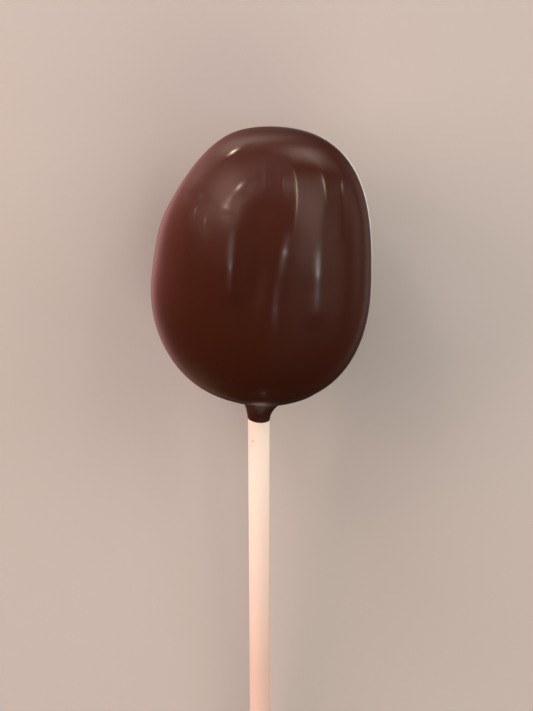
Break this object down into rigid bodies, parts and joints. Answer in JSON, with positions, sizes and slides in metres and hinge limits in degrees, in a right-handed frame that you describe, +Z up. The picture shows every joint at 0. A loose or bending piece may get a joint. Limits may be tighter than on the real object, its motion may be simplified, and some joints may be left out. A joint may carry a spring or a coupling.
{
  "type": "cake pop",
  "caption": "Cake ball dipped in glossy dark chocolate with soft set ribs, on a white paper stick, lying on its back.",
  "frame": {"origin": "centre of the bounding box's footprint, on the surface that the pop lies on", "axes": "+Z up, +Y from the free end of the stick towards the top of the cake ball, +X to the right of the shown side"},
  "size_m": [0.0386, 0.1692, 0.0376],
  "materials": {
    "dark_chocolate": "gloss",
    "white_paper": "matte"
  },
  "bodies": {
    "root": {"coated_cake": "dark_chocolate", "stick": "white_paper"}
  },
  "joints": []
}
